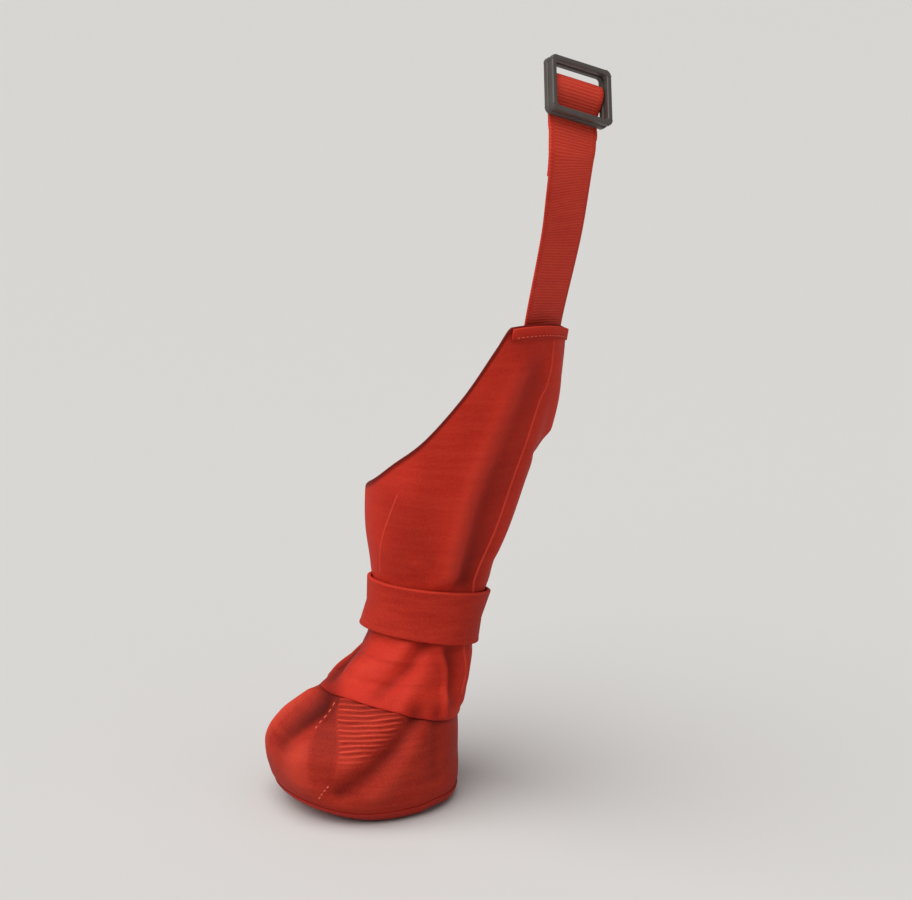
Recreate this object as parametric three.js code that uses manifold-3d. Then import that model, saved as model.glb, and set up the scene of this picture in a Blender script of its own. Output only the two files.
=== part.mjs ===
// Dog boot for a left front paw, held up by a webbing strap with a slide adjuster.
// Millimetres. The toe points to -Y, the outer side of the leg to +X, and +Z is up.
// The origin is on the floor, under the middle of the paw.
import * as THREE from 'three';
import { ParametricGeometry } from 'three/addons/geometries/ParametricGeometry.js';
import { mergeVertices } from 'three/addons/utils/BufferGeometryUtils.js';
import Module from 'manifold-3d';

const wasm = await Module();
wasm.setup();

// Driving sizes of the last, the form that the paw and leg fill
const footLength = 80;
const ballWidth = 73;
const pawHeight = 53;
const ankleHeight = 83;
const ankleDepth = 38;
const ankleWidth = 37;
const legLean = THREE.MathUtils.degToRad(11);
const legMiddle = 23.5;
const tabHeight = 211;

// Cloth and sole
const wall = 1.8;
const gap = 0.3;
const sleeveGap = 0.7;
const hemFront = 48;
const hemHeel = 37;
const hemDip = 1;
const upperTuck = 8;
const lugDepth = 1.2;
const soleSkin = 1.8;
const soleRimHeight = 5.8;
const soleRimWall = 1;
const insoleThickness = 2.4;
const toeSpring = 4;
const toeSpringStart = -20;
const heelSpring = 1.2;
const heelSpringStart = 28;
const archRise = 0.8;
const archMiddle = 8.5;
const archHalf = 8;

// Ankle strap, tab hem, webbing and slider
const strapWidth = 25;
const strapThickness = 1.9;
const strapTilt = 4.2;
const strapSlant = 2.5;
const strapDrop = 2.9;
const tabHemHeight = 5;
const webWidth = 25;
const webThickness = 1.4;
const webTuck = 14;
const tabFirst = THREE.MathUtils.degToRad(83);
const tabLast = THREE.MathUtils.degToRad(131);
const sliderWidth = 31;
const sliderHeight = 24.8;
const sliderThickness = 6.2;
const sliderBar = 2.4;
const sliderCorner = 4.5;
const windowCorner = 1.4;
const sliderOff = 4.2;
const sliderDrop = 0.8;
const middleBarUp = 2.3;
const middleBarThickness = 2.6;
const middleBarBack = 0.2;

// Sections of the paw from the floor up. height is a share of pawHeight, front and back are
// shares of footLength either side of the origin, outer and inner are shares of ballWidth.
const pawRows = [
  { height: 0.04, front: 0.46, back: 0.38, outer: 0.46, inner: 0.45, middle: -0.05, corner: 2.2 },
  { height: 0.18, front: 0.545, back: 0.38, outer: 0.495, inner: 0.48, middle: -0.07, corner: 2.2 },
  { height: 0.36, front: 0.585, back: 0.38, outer: 0.505, inner: 0.495, middle: -0.08, corner: 2.1 },
  { height: 0.52, front: 0.565, back: 0.38, outer: 0.49, inner: 0.48, middle: -0.06, corner: 2.1 },
  { height: 0.66, front: 0.49, back: 0.385, outer: 0.46, inner: 0.45, middle: -0.01, corner: 2 },
  { height: 0.82, front: 0.35, back: 0.4, outer: 0.41, inner: 0.4, middle: 0.06, corner: 2 },
  { height: 1, front: 0.2, back: 0.45, outer: 0.34, inner: 0.33, middle: 0.13, corner: 2 },
];

const widestShare = 0.36;

// Sections of the leg above the paw. depth and width are shares of the ankle's own, and shift
// moves a section along the foot from the line of the leg.
const legRows = [
  { height: 63, depth: 1.12, width: 1.16, shift: -2.2 },
  { height: 73, depth: 0.99, width: 1.03, shift: -1.2 },
  { height: 83, depth: 1, width: 1, shift: 0 },
  { height: 98, depth: 1.16, width: 1.12, shift: 0.5 },
  { height: 118, depth: 1.46, width: 1.34, shift: 0 },
  { height: 138, depth: 1.63, width: 1.5, shift: 0 },
  { height: 160, depth: 1.8, width: 1.62, shift: 1.2 },
  { height: 185, depth: 1.92, width: 1.72, shift: 1.8 },
  { height: 211, depth: 1.92, width: 1.8, shift: 1.2 },
];

// Height of the collar around the leg. turn is in degrees from the toe to the outer side.
const collarRows = [
  { turn: -90, height: 115 },
  { turn: -60, height: 120 },
  { turn: -28, height: 134 },
  { turn: 0, height: 142 },
  { turn: 18, height: 150 },
  { turn: 40, height: 162 },
  { turn: 60, height: 181 },
  { turn: 76, height: 202 },
  { turn: 83, height: 210 },
  { turn: 131, height: 205 },
  { turn: 136, height: 196 },
  { turn: 154, height: 156 },
  { turn: 180, height: 142 },
  { turn: 215, height: 130 },
  { turn: 245, height: 119 },
  { turn: 270, height: 115 },
];

function readRows(rows, key, place, column) {
  const last = rows.length - 1;
  const at = THREE.MathUtils.clamp(place, rows[0][key], rows[last][key]);
  let i = 0;
  while (i < last - 1 && rows[i + 1][key] <= at) i += 1;
  const slope = (row) => {
    const before = rows[Math.max(row - 1, 0)];
    const after = rows[Math.min(row + 1, last)];
    return (after[column] - before[column]) / (after[key] - before[key]);
  };
  const span = rows[i + 1][key] - rows[i][key];
  const t = (at - rows[i][key]) / span;
  const t2 = t * t;
  const t3 = t2 * t;
  const ends = (2 * t3 - 3 * t2 + 1) * rows[i][column] + (3 * t2 - 2 * t3) * rows[i + 1][column];
  return ends + span * ((t3 - 2 * t2 + t) * slope(i) + (t3 - t2) * slope(i + 1));
}

function bend(value, power) {
  return Math.sign(value) * Math.abs(value) ** power;
}

// A point of the last: turn is in radians from the toe to the outer side, height from the floor.
function lastPoint(turn, height) {
  const sine = Math.sin(turn);
  const cosine = Math.cos(turn);
  const blendStart = pawHeight - 4;
  const blendEnd = 63;
  const toLeg = THREE.MathUtils.smoothstep(height, blendStart, blendEnd);
  const paw = pawPoint(sine, cosine, Math.min(height, blendEnd));
  const leg = legPoint(sine, cosine, Math.max(height, blendEnd));
  return new THREE.Vector3(
    THREE.MathUtils.lerp(paw.x, leg.x, toLeg),
    THREE.MathUtils.lerp(paw.y, leg.y, toLeg),
    height,
  );
}

function pawPoint(sine, cosine, height) {
  const share = height / pawHeight;
  const read = (column) => readRows(pawRows, 'height', share, column);
  const power = 2 / read('corner');
  const middle = read('middle') * footLength;
  const reachX = (sine > 0 ? read('outer') : read('inner')) * ballWidth;
  const front = read('front') * footLength + middle;
  const back = read('back') * footLength - middle;
  return {
    x: reachX * bend(sine, power),
    y: middle - (cosine > 0 ? front : back) * bend(cosine, power),
  };
}

function legPoint(sine, cosine, height) {
  const depth = readRows(legRows, 'height', height, 'depth') * ankleDepth / 2;
  const width = readRows(legRows, 'height', height, 'width') * ankleWidth / 2;
  const shift = readRows(legRows, 'height', height, 'shift');
  const middle = legMiddle + shift + Math.tan(legLean) * (height - ankleHeight);
  return { x: width * sine, y: middle - depth * cosine };
}

function lastNormal(turn, height) {
  const step = 0.02;
  const rise = 0.5;
  const around = lastPoint(turn + step, height).sub(lastPoint(turn - step, height));
  const upward = lastPoint(turn, height + rise).sub(lastPoint(turn, height - rise));
  return around.cross(upward).normalize();
}

// The last grown by a distance along its own normal.
function grownPoint(turn, height, grow) {
  return lastPoint(turn, height).addScaledVector(lastNormal(turn, height), grow);
}

// The same growth read at one height, for pieces that lie level.
function levelPoint(turn, height, grow) {
  const normal = lastNormal(turn, height);
  const level = Math.hypot(normal.x, normal.y);
  normal.z = 0;
  return lastPoint(turn, height).addScaledVector(normal, grow / (level * level));
}

function collarHeight(turn) {
  const degrees = THREE.MathUtils.radToDeg(turn);
  const wrapped = THREE.MathUtils.euclideanModulo(degrees + 90, 360) - 90;
  return readRows(collarRows, 'turn', wrapped, 'height');
}

function hemHeight(turn) {
  const mean = (hemFront + hemHeel) / 2;
  return mean + (hemFront - hemHeel) / 2 * Math.cos(turn) + hemDip * Math.sin(2 * turn);
}

// How far the underside of the sole stands off the floor at a place along the foot.
function soleRise(y) {
  const toe = Math.max(toeSpringStart - y, 0) / (footLength / 2 + toeSpringStart);
  const heel = Math.max(y - heelSpringStart, 0) / (footLength / 2 - heelSpringStart);
  const arch = Math.max(1 - ((y - archMiddle) / archHalf) ** 2, 0);
  const springs = toeSpring * Math.min(toe * toe, 1) + heelSpring * Math.min(heel * heel, 1);
  return springs + archRise * arch * arch;
}

// Welds a parametric surface into one closed mesh and drops the faces that close to nothing.
function weld(geometry) {
  geometry.deleteAttribute('normal');
  geometry.deleteAttribute('uv');
  const merged = mergeVertices(geometry, 1e-4);
  const kept = [];
  const index = merged.index.array;
  for (let i = 0; i < index.length; i += 3) {
    const [a, b, c] = [index[i], index[i + 1], index[i + 2]];
    if (a !== b && b !== c && c !== a) kept.push(a, b, c);
  }
  merged.setIndex(kept);
  return merged;
}

// A closed wall around the last: each loop entry names its face and its share of the way up.
function wallGeometry(turns, rings, surface) {
  const loop = [];
  for (let ring = 0; ring <= rings; ring += 1) loop.push({ outside: true, share: ring / rings });
  for (let ring = rings; ring >= 0; ring -= 1) loop.push({ outside: false, share: ring / rings });
  const place = (u, v, target) => {
    const entry = loop[Math.round(v * loop.length) % loop.length];
    target.copy(surface(u, entry.share, entry.outside));
  };
  return weld(new ParametricGeometry(place, turns, loop.length));
}

// Turns are closer together across the tab, where the collar is steep.
function shaftTurn(u) {
  const even = 2 * Math.PI * u - Math.PI / 2;
  const crowd = 0.3;
  const crowdTurn = THREE.MathUtils.degToRad(118);
  return even - crowd * Math.sin(even - crowdTurn) + crowd * Math.sin(-Math.PI / 2 - crowdTurn);
}

const shaftGrow = wall + sleeveGap;

function shaftPoint(turn, height, outside) {
  return grownPoint(turn, height, outside ? shaftGrow + wall : shaftGrow);
}

function makeShaft() {
  const turns = 60;
  const rings = 14;
  return wallGeometry(turns, rings, (u, share, outside) => {
    const turn = shaftTurn(u);
    const height = THREE.MathUtils.lerp(hemHeight(turn), collarHeight(turn), share);
    return shaftPoint(turn, height, outside);
  });
}

function soleTop(y) {
  return soleRise(y) + lugDepth + soleSkin;
}

function makeUpper() {
  const turns = 48;
  const rings = 12;
  return wallGeometry(turns, rings, (u, share, outside) => {
    const turn = 2 * Math.PI * u;
    const edge = soleTop(lastPoint(turn, soleRimHeight).y) + gap;
    const height = THREE.MathUtils.lerp(edge, hemHeight(turn) + upperTuck, share);
    const grow = outside ? wall : 0;
    const turnsUnder = height < widestShare * pawHeight;
    return turnsUnder ? levelPoint(turn, height, grow) : grownPoint(turn, height, grow);
  });
}

// Half of the sole's section, from the middle of the underside round the rim to the middle on top.
// reach is a share of the way out to the rim, grow is measured from the last beyond it.
const rimGrow = wall + gap + soleRimWall;
const soleProfile = [
  { reach: 0, grow: 0, height: lugDepth },
  { reach: 0.5, grow: 0, height: lugDepth },
  { reach: 0.85, grow: 0, height: lugDepth },
  { reach: 1, grow: rimGrow - 1.3, height: lugDepth + 0.3 },
  { reach: 1, grow: rimGrow, height: lugDepth + 2 },
  { reach: 1, grow: rimGrow, height: soleRimHeight - 1 },
  { reach: 1, grow: rimGrow - soleRimWall / 2, height: soleRimHeight },
  { reach: 1, grow: wall + gap, height: soleRimHeight - 0.4 },
  { reach: 1, grow: wall + gap, height: lugDepth + soleSkin + 1 },
  { reach: 1, grow: wall + gap, height: lugDepth + soleSkin },
  { reach: 0.85, grow: 0, height: lugDepth + soleSkin },
  { reach: 0.5, grow: 0, height: lugDepth + soleSkin },
  { reach: 0, grow: 0, height: lugDepth + soleSkin },
];

function solePoint(turn, reach, grow, height) {
  const footing = lastPoint(turn, soleRimHeight).y;
  const rim = levelPoint(turn, height + soleRise(footing), grow);
  return new THREE.Vector3(rim.x * reach, rim.y * reach, height + soleRise(footing * reach));
}

function makeSoleBody() {
  const turns = 48;
  const last = soleProfile.length - 1;
  const place = (u, v, target) => {
    const row = soleProfile[Math.round(v * last)];
    target.copy(solePoint(2 * Math.PI * u, row.reach, row.grow, row.height));
  };
  return weld(new ParametricGeometry(place, turns, last));
}

// Six-sided tread blocks. y is the row along the foot, first and count lay the blocks across it.
const lugRows = [
  { y: -29, count: 3 },
  { y: -20, count: 4 },
  { y: -10, count: 5 },
  { y: 0, count: 5 },
  { y: 17, count: 4 },
  { y: 25, count: 3 },
];
const lugRadius = 4.4;
const lugPitch = 11;

function makeLug(x, y) {
  const height = lugDepth + soleSkin / 2;
  const block = new THREE.CylinderGeometry(lugRadius, lugRadius, height, 6);
  block.rotateX(Math.PI / 2);
  block.translate(x, y, height / 2 + soleRise(y));
  return weld(block);
}

function toManifold(geometry) {
  const vertProperties = new Float32Array(geometry.attributes.position.array);
  const triVerts = new Uint32Array(geometry.index.array);
  return new wasm.Manifold(new wasm.Mesh({ numProp: 3, vertProperties, triVerts }));
}

function fromManifold(solid) {
  const mesh = solid.getMesh();
  const geometry = new THREE.BufferGeometry();
  geometry.setAttribute('position', new THREE.BufferAttribute(mesh.vertProperties, 3));
  geometry.setIndex(new THREE.BufferAttribute(mesh.triVerts, 1));
  return geometry;
}

function makeOutsole() {
  let sole = toManifold(makeSoleBody());
  for (const row of lugRows) {
    for (let i = 0; i < row.count; i += 1) {
      const x = (i - (row.count - 1) / 2) * lugPitch;
      sole = sole.add(toManifold(makeLug(x, row.y)));
    }
  }
  return fromManifold(sole);
}

// Half of the insole's section, from the middle below round the edge to the middle on top.
const insoleProfile = [
  { reach: 0, lift: 0 },
  { reach: 0.5, lift: 0 },
  { reach: 0.85, lift: 0 },
  { reach: 1, lift: 0 },
  { reach: 1, lift: 0.7 },
  { reach: 0.97, lift: 1 },
  { reach: 0.85, lift: 1 },
  { reach: 0.5, lift: 1 },
  { reach: 0, lift: 1 },
];

function makeInsole() {
  const turns = 48;
  const last = insoleProfile.length - 1;
  const bottom = lugDepth + soleSkin + gap;
  const place = (u, v, target) => {
    const row = insoleProfile[Math.round(v * last)];
    const height = bottom + row.lift * insoleThickness;
    target.copy(solePoint(2 * Math.PI * u, row.reach, -gap, height));
  };
  return weld(new ParametricGeometry(place, turns, last));
}

// A strip swept along its length with closed ends. across lists the shares of its half width.
function stripGeometry(steps, across, surface) {
  const loop = across.map((side) => ({ side, outside: false }));
  loop.push(...[...across].reverse().map((side) => ({ side, outside: true })));
  const ring = (share) => loop.map((entry) => surface(share, entry.side, entry.outside));
  const rings = [];
  for (let step = 0; step <= steps; step += 1) rings.push(ring(step / steps));
  const middle = (points) => {
    const sum = points.reduce((total, point) => total.add(point), new THREE.Vector3());
    return sum.divideScalar(points.length);
  };
  rings.unshift(loop.map(() => middle(rings[0])));
  rings.push(loop.map(() => middle(rings[steps + 1])));
  const place = (u, v, target) => {
    const row = rings[Math.round(v * (rings.length - 1))];
    target.copy(row[Math.round(u * loop.length) % loop.length]);
  };
  return weld(new ParametricGeometry(place, loop.length, rings.length - 1));
}

// The strap is one band that starts on the inner side, goes once round and closes over itself.
const strapStart = THREE.MathUtils.degToRad(200);
const strapOverlap = THREE.MathUtils.degToRad(48);
const strapRamp = THREE.MathUtils.degToRad(26);

function strapLine(turn) {
  const lean = strapTilt * Math.cos(turn) + strapSlant * Math.sin(turn);
  return ankleHeight - strapDrop + lean;
}

function makeAnkleStrap() {
  const steps = 76;
  const across = [-1, -0.5, 0, 0.5, 1];
  return stripGeometry(steps, across, (share, side, outside) => {
    const along = share * (2 * Math.PI + strapOverlap);
    const rampStart = 2 * Math.PI - strapRamp;
    const layer = THREE.MathUtils.smoothstep(along, rampStart, 2 * Math.PI - 0.02);
    const turn = strapStart + along;
    const height = strapLine(turn) + side * strapWidth / 2 * Math.cos(legLean);
    const inside = shaftGrow + wall + sleeveGap + layer * (strapThickness + sleeveGap);
    return grownPoint(turn, height, inside + (outside ? strapThickness : 0));
  });
}

function makeTabHem() {
  const steps = 12;
  const thickness = 1.1;
  return stripGeometry(steps, [-1, 1], (share, side, outside) => {
    const turn = THREE.MathUtils.lerp(tabFirst, tabLast, share);
    const height = collarHeight(turn) - (1 - side) / 2 * tabHemHeight - gap;
    const inside = shaftGrow + wall + gap;
    return grownPoint(turn, height, inside + (outside ? thickness : 0));
  });
}

// The webbing's line from inside the tab to just past the slider, and the way that its face looks
// in degrees from the toe to the outer side. The slider sits at sliderRow's place.
const webSagitta = 2.6;
const tabMiddle = THREE.MathUtils.degToRad(115);
const webFoot = grownPoint(tabMiddle, tabHeight - webTuck, wall - webThickness / 2 - webSagitta);
const webNeck = grownPoint(tabMiddle, tabHeight, wall - webThickness / 2 - webSagitta);
const webRows = [
  { out: webFoot.x, back: webFoot.y, height: webFoot.z, facing: 111 },
  { out: webNeck.x, back: webNeck.y, height: webNeck.z, facing: 111 },
  { out: 30, back: 71.5, height: 245, facing: 107 },
  { out: 32.6, back: 72.9, height: 265, facing: 104.5 },
  { out: 33, back: 74.1, height: 277, facing: 103.2 },
  { out: 30.1, back: 76.2, height: 286, facing: 102.6 },
  { out: 27.7, back: 77.5, height: 290, facing: 102.6 },
  { out: 21, back: 81, height: 301, facing: 102.6 },
  { out: 6.3, back: 88.6, height: 325, facing: 102.6 },
];
const sliderRow = 7;
const webCurve = new THREE.CatmullRomCurve3(
  webRows.map((row) => new THREE.Vector3(row.out, row.back, row.height)),
);

// Threading through the slider. up is along the webbing from the slider's middle, off is towards
// its face: behind the lower bar, over the middle bar, back through the upper window and down.
// aside moves the tail sideways, so that it lies straight behind the webbing.
const webThread = [
  { up: -13, off: 0, aside: 0 },
  { up: -9.6, off: 0.1, aside: 0 },
  { up: -7, off: 1.1, aside: 0 },
  { up: -4.4, off: 2.9, aside: 0 },
  { up: -1.8, off: 4.4, aside: 0 },
  { up: 0.8, off: 5.1, aside: 0 },
  { up: 2.8, off: 4.9, aside: 0 },
  { up: 4.2, off: 3.9, aside: 0 },
  { up: 4.6, off: 2.4, aside: 0 },
  { up: 4.1, off: 1, aside: 0 },
  { up: 2.8, off: 0.1, aside: 0 },
  { up: 0.6, off: -0.6, aside: 0 },
  { up: -3.5, off: -1.4, aside: 0.4 },
  { up: -8, off: -1.9, aside: 1 },
  { up: -13, off: -2, aside: 1.4 },
  { up: -26, off: -2.1, aside: 1.5 },
  { up: -38, off: -2.1, aside: 1.5 },
];

// Middle, across, along and outward directions of the webbing's line at a height.
function webFrame(height) {
  let low = 0;
  let high = 1;
  for (let i = 0; i < 30; i += 1) {
    const share = (low + high) / 2;
    if (webCurve.getPoint(share).z < height) low = share;
    else high = share;
  }
  const facing = THREE.MathUtils.degToRad(readRows(webRows, 'height', height, 'facing'));
  const up = webCurve.getTangent(low);
  const level = new THREE.Vector3(Math.cos(facing), Math.sin(facing), 0);
  const across = level.addScaledVector(up, -level.dot(up)).normalize();
  const out = new THREE.Vector3().crossVectors(across, up);
  return { middle: webCurve.getPoint(low), across, up, out };
}

function makeWebbing() {
  const sliderSpot = webRows[sliderRow].height;
  const foot = webRows[0].height;
  const runSteps = 9;
  const runEnd = sliderSpot - 20;
  const run = [];
  for (let i = 0; i <= runSteps; i += 1) {
    run.push(new THREE.Vector3(THREE.MathUtils.lerp(foot, runEnd, i / runSteps), 0, 0));
  }
  const rise = webFrame(sliderSpot).up.z;
  const thread = webThread.map(
    (row) => new THREE.Vector3(sliderSpot + row.up * rise, row.off, row.aside),
  );
  const curve = new THREE.CatmullRomCurve3([...run, ...thread]);
  const steps = 84;
  return stripGeometry(steps, [1, -1], (share, side, outside) => {
    const place = curve.getPointAt(share);
    const heading = curve.getTangentAt(share);
    const half = (outside ? 1 : -1) * webThickness / 2;
    const { middle, across, up, out } = webFrame(place.x);
    return middle
      .addScaledVector(up, -heading.y * half)
      .addScaledVector(out, place.y + heading.x * half)
      .addScaledVector(across, side * webWidth / 2 + place.z);
  });
}

function roundedShape(Path, width, height, corner) {
  const path = new Path();
  const [x, y] = [width / 2 - corner, height / 2 - corner];
  path.absarc(x, y, corner, 0, Math.PI / 2);
  path.absarc(-x, y, corner, Math.PI / 2, Math.PI);
  path.absarc(-x, -y, corner, Math.PI, Math.PI * 1.5);
  path.absarc(x, -y, corner, Math.PI * 1.5, Math.PI * 2);
  path.closePath();
  return path;
}

function placeSlider(geometry) {
  const { middle, across, up, out } = webFrame(webRows[sliderRow].height);
  const place = middle.addScaledVector(out, sliderOff).addScaledVector(up, -sliderDrop);
  geometry.applyMatrix4(new THREE.Matrix4().makeBasis(across, up, out).setPosition(place));
  return toManifold(weld(geometry));
}

function makeSlider() {
  const bevel = 0.6;
  const windowWidth = sliderWidth - 2 * sliderBar;
  const outline = roundedShape(
    THREE.Shape,
    sliderWidth - 2 * bevel,
    sliderHeight - 2 * bevel,
    sliderCorner - bevel,
  );
  outline.holes.push(roundedShape(
    THREE.Path,
    windowWidth + 2 * bevel,
    sliderHeight - 2 * sliderBar + 2 * bevel,
    windowCorner + bevel,
  ));
  const frame = new THREE.ExtrudeGeometry(outline, {
    depth: sliderThickness - 2 * bevel,
    curveSegments: 3,
    bevelThickness: bevel,
    bevelSize: bevel,
    bevelSegments: 1,
  });
  frame.translate(0, 0, bevel - sliderThickness / 2);
  const bar = new THREE.BoxGeometry(windowWidth + sliderBar, sliderBar, middleBarThickness);
  const barMiddle = (middleBarThickness - sliderThickness) / 2 + middleBarBack;
  bar.translate(0, middleBarUp, barMiddle);
  return fromManifold(placeSlider(frame).add(placeSlider(bar)));
}

const cloth = { color: 0xa82018, roughness: 0.85, metalness: 0 };
const finishes = {
  upperCloth: cloth,
  shaftCloth: { ...cloth, color: 0xb0251b },
  strapTape: { ...cloth, color: 0x9c1c15 },
  webTape: { ...cloth, color: 0xa11d17, roughness: 0.75 },
  soleRubber: { color: 0x5e1410, roughness: 0.7, metalness: 0 },
  insoleFoam: { color: 0x2b2b2d, roughness: 0.95, metalness: 0 },
  sliderPlastic: { color: 0x2f2e2d, roughness: 0.45, metalness: 0 },
};

function piece(name, geometry, finish) {
  const mesh = new THREE.Mesh(geometry, new THREE.MeshStandardMaterial(finishes[finish]));
  mesh.name = name;
  return mesh;
}

const boot = new THREE.Group();
boot.add(
  piece('outsole', makeOutsole(), 'soleRubber'),
  piece('insole', makeInsole(), 'insoleFoam'),
  piece('upper', makeUpper(), 'upperCloth'),
  piece('shaft', makeShaft(), 'shaftCloth'),
  piece('ankle_strap', makeAnkleStrap(), 'strapTape'),
  piece('tab_hem', makeTabHem(), 'shaftCloth'),
  piece('webbing', makeWebbing(), 'webTape'),
  piece('slider', makeSlider(), 'sliderPlastic'),
);

export default boot;
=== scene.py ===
# Dog boot for a left front paw, held up by a webbing strap with a slide adjuster.
# The shape functions work in millimetres and degrees; meshes are made in metres.
# The toe points to -Y, the outer side of the leg to +X, and the boot stands on z = 0.
import bpy
import bmesh
import numpy as np
from mathutils import Matrix, Vector


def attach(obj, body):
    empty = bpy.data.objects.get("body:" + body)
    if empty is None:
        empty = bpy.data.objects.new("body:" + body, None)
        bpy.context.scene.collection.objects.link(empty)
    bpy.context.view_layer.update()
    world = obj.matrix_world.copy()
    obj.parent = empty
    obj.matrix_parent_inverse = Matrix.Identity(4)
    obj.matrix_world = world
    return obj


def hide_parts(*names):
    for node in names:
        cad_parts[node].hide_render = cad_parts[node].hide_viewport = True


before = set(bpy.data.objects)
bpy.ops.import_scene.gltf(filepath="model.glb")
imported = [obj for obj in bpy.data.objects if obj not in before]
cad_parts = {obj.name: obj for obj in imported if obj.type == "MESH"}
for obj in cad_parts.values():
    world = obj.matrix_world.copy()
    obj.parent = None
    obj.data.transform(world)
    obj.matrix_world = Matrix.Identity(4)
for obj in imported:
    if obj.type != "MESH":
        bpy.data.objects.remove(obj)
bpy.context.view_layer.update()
millimetre = 0.001
weldGap = 0.002 * millimetre
rimSteps = 5  # rings that round off a cloth edge


def table(columns, *rows):
    return dict(zip(columns.split(), np.array(rows, dtype=float).T))


# the form that the paw and leg fill
form = {
    "footLength": 80,
    "ballWidth": 73,
    "pawHeight": 53,
    "ankleHeight": 83,
    "ankleDepth": 38,
    "ankleWidth": 37,
    "legLean": 11,
    "legMiddle": 23.5,
    "blendLow": 49,
    "blendHigh": 63,
    "hemFront": 48,
    "hemHeel": 37,
    "hemDip": 1,
    "tabHeight": 211,
}

# height is a share of pawHeight, front and back of footLength, outer and inner of ballWidth
pawSections = table(
    "height front back outer inner middle corner",
    (0.04, 0.46, 0.38, 0.46, 0.45, -0.05, 2.2),
    (0.18, 0.545, 0.38, 0.495, 0.48, -0.07, 2.2),
    (0.36, 0.585, 0.38, 0.505, 0.495, -0.08, 2.1),
    (0.52, 0.565, 0.38, 0.49, 0.48, -0.06, 2.1),
    (0.66, 0.49, 0.385, 0.46, 0.45, -0.01, 2),
    (0.82, 0.35, 0.4, 0.41, 0.4, 0.06, 2),
    (1, 0.2, 0.45, 0.34, 0.33, 0.13, 2),
)
widestHeight = 0.36 * form["pawHeight"]

# depth and width are shares of the ankle's own; shift is off the line of the leg
legSections = table(
    "height depth width shift",
    (63, 1.12, 1.16, -2.2),
    (73, 0.99, 1.03, -1.2),
    (83, 1, 1, 0),
    (98, 1.16, 1.12, 0.5),
    (118, 1.46, 1.34, 0),
    (138, 1.63, 1.5, 0),
    (160, 1.8, 1.62, 1.2),
    (185, 1.92, 1.72, 1.8),
    (211, 1.92, 1.8, 1.2),
)

# turn is from the toe to the outer side
collarLine = table(
    "turn height",
    (-90, 115), (-60, 120), (-28, 134), (0, 142), (18, 150), (40, 162), (60, 181), (76, 202),
    (83, 210), (131, 205), (136, 196), (154, 156), (180, 142), (215, 130), (245, 119), (270, 115),
)


def readRows(rows, key, place, column):
    xs, ys = rows[key], rows[column]
    last = len(xs) - 1
    before = np.maximum(np.arange(last + 1) - 1, 0)
    after = np.minimum(np.arange(last + 1) + 1, last)
    slopes = (ys[after] - ys[before]) / (xs[after] - xs[before])
    at = np.clip(place, xs[0], xs[last])
    i = np.clip(np.searchsorted(xs, at, side="right") - 1, 0, last - 1)
    span = xs[i + 1] - xs[i]
    t = (at - xs[i]) / span
    ends = (2 * t**3 - 3 * t**2 + 1) * ys[i] + (3 * t**2 - 2 * t**3) * ys[i + 1]
    return ends + span * ((t**3 - 2 * t**2 + t) * slopes[i] + (t**3 - t**2) * slopes[i + 1])


def smoothStep(value, low, high):
    t = np.clip((value - low) / (high - low), 0, 1)
    return t * t * (3 - 2 * t)


def bend(value, power):
    return np.sign(value) * np.abs(value) ** power


def bandSection(v, sidePower, facePower):
    # places round a flat band's section, from minus one to one; the lower the power, the squarer
    angle = 2 * np.pi * v
    return bend(np.cos(angle), sidePower), bend(np.sin(angle), facePower)


def formPoint(turn, height):
    turn, height = np.broadcast_arrays(np.radians(turn), np.asarray(height, dtype=float))
    sine, cosine = np.sin(turn), np.cos(turn)
    share = np.minimum(height, form["blendHigh"]) / form["pawHeight"]

    def read(column):
        return readRows(pawSections, "height", share, column)

    power = 2 / read("corner")
    middle = read("middle") * form["footLength"]
    reach = np.where(sine > 0, read("outer"), read("inner")) * form["ballWidth"]
    ahead = read("front") * form["footLength"] + middle
    behind = read("back") * form["footLength"] - middle
    pawX = reach * bend(sine, power)
    pawY = middle - np.where(cosine > 0, ahead, behind) * bend(cosine, power)
    up = np.maximum(height, form["blendHigh"])
    depth = readRows(legSections, "height", up, "depth") * form["ankleDepth"] / 2
    width = readRows(legSections, "height", up, "width") * form["ankleWidth"] / 2
    lean = np.tan(np.radians(form["legLean"])) * (up - form["ankleHeight"])
    legY = form["legMiddle"] + readRows(legSections, "height", up, "shift") + lean - depth * cosine
    toLeg = smoothStep(height, form["blendLow"], form["blendHigh"])
    x = pawX + (width * sine - pawX) * toLeg
    y = pawY + (legY - pawY) * toLeg
    return np.stack([x, y, height], -1)


def unit(vectors):
    return vectors / np.linalg.norm(vectors, axis=-1, keepdims=True)


def runLengths(steps):
    return np.concatenate([[0], np.cumsum(steps)])


def formNormal(turn, height):
    # read over a few millimetres above the paw, so that the bend at the ankle stays smooth
    span = 0.5 + 3 * smoothStep(height, form["blendHigh"] - 12, form["blendHigh"] - 3)
    around = formPoint(turn + 1.1, height) - formPoint(turn - 1.1, height)
    upward = formPoint(turn, height + span) - formPoint(turn, height - span)
    return unit(np.cross(around, upward))


def grownPoint(turn, height, grow):
    return formPoint(turn, height) + formNormal(turn, height) * np.asarray(grow)[..., None]


def levelPoint(turn, height, grow):
    normal = formNormal(turn, height)
    level = np.hypot(normal[..., 0], normal[..., 1])
    flat = normal * (1, 1, 0)
    return formPoint(turn, height) + flat * (np.asarray(grow) / level**2)[..., None]


def collarHeight(turn):
    return readRows(collarLine, "turn", (turn + 90) % 360 - 90, "height")


def hemHeight(turn):
    mean = (form["hemFront"] + form["hemHeel"]) / 2
    half = (form["hemFront"] - form["hemHeel"]) / 2
    around = np.radians(turn)
    return mean + half * np.cos(around) + form["hemDip"] * np.sin(2 * around)


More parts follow.
